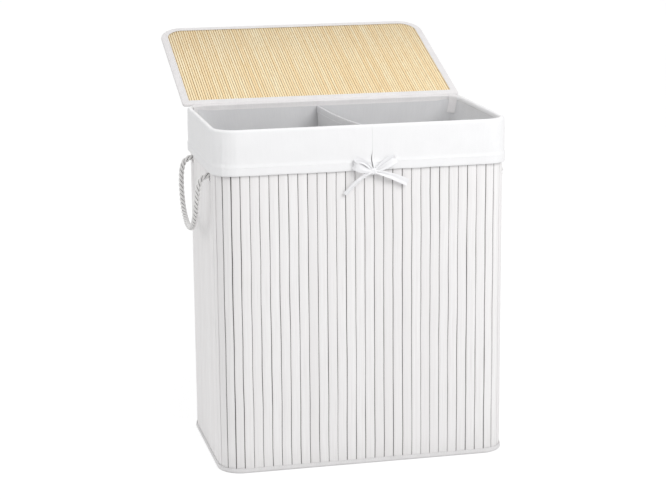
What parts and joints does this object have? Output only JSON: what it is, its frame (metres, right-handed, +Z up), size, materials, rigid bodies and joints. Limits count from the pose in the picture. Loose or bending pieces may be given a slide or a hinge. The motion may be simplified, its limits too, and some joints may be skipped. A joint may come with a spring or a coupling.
{
  "type": "laundry hamper",
  "caption": "Free-standing slatted bamboo laundry hamper: cloth liner split into bins, folded cuff with ribbon bow, hinged lid and rope handles.",
  "frame": {"origin": "middle of the base, on the floor", "axes": "+X to the right, +Y to the back, where the lid is hinged, +Z up"},
  "size_m": [0.566, 0.6401, 0.7163],
  "materials": {
    "painted_bamboo": "satin white paint over bamboo grain",
    "plain_bamboo": "plain straw-coloured bamboo strips",
    "steel_wire": "plain drawn wire",
    "binding_cloth": "woven tape, matt",
    "liner_cloth": "plain-weave cotton blend, matt",
    "ribbon": "soft woven ribbon",
    "rope": "three-strand twisted cotton"
  },
  "bodies": {
    "basket": {"front_slat_mat": "painted_bamboo", "back_slat_mat": "painted_bamboo", "left_slat_mat": "painted_bamboo", "right_slat_mat": "painted_bamboo", "base_slat_mat": "painted_bamboo", "rim_wire_frame": "steel_wire", "base_wire_frame": "steel_wire", "rim_binding": "binding_cloth", "base_binding": "binding_cloth", "rim_loop_left": "binding_cloth", "rim_loop_right": "binding_cloth", "hinge_tape_rim_leaf": "binding_cloth", "liner_front_panel": "liner_cloth", "liner_back_panel": "liner_cloth", "liner_left_panel": "liner_cloth", "liner_right_panel": "liner_cloth", "liner_divider": "liner_cloth", "liner_left_floor": "liner_cloth", "liner_right_floor": "liner_cloth", "cuff_left_half": "liner_cloth", "cuff_right_half": "liner_cloth", "hem_ribbon_left": "ribbon", "hem_ribbon_right": "ribbon", "bow_knot": "ribbon", "bow_left_loop": "ribbon", "bow_right_loop": "ribbon", "bow_left_tail": "ribbon", "bow_right_tail": "ribbon", "left_rope_front_end": "rope", "left_rope_rear_end": "rope", "right_rope_front_end": "rope", "right_rope_rear_end": "rope"},
    "lid": {"lid_binding": "binding_cloth", "lid_wire_frame": "steel_wire", "lid_outer_mat": "painted_bamboo", "lid_inner_mat": "plain_bamboo", "hinge_tape_lid_leaf": "binding_cloth"},
    "left_handle": {"left_rope_loop": "rope"},
    "right_handle": {"right_rope_loop": "rope"}
  },
  "joints": [
    {"name": "lid_hinge", "type": "hinge", "parent": "basket", "child": "lid", "pos_m": [0, 0.15933, 0.6096], "axis": [1, 0, 0], "range_deg": [0, 160.57]},
    {"name": "left_handle_swing", "type": "hinge", "parent": "basket", "child": "left_handle", "pos_m": [-0.271, 0, 0.522], "axis": [0, 1, 0], "range_deg": [0, 150]},
    {"name": "right_handle_swing", "type": "hinge", "parent": "basket", "child": "right_handle", "pos_m": [0.266, 0, 0.522], "axis": [0, -1, 0], "range_deg": [0, 150]}
  ]
}
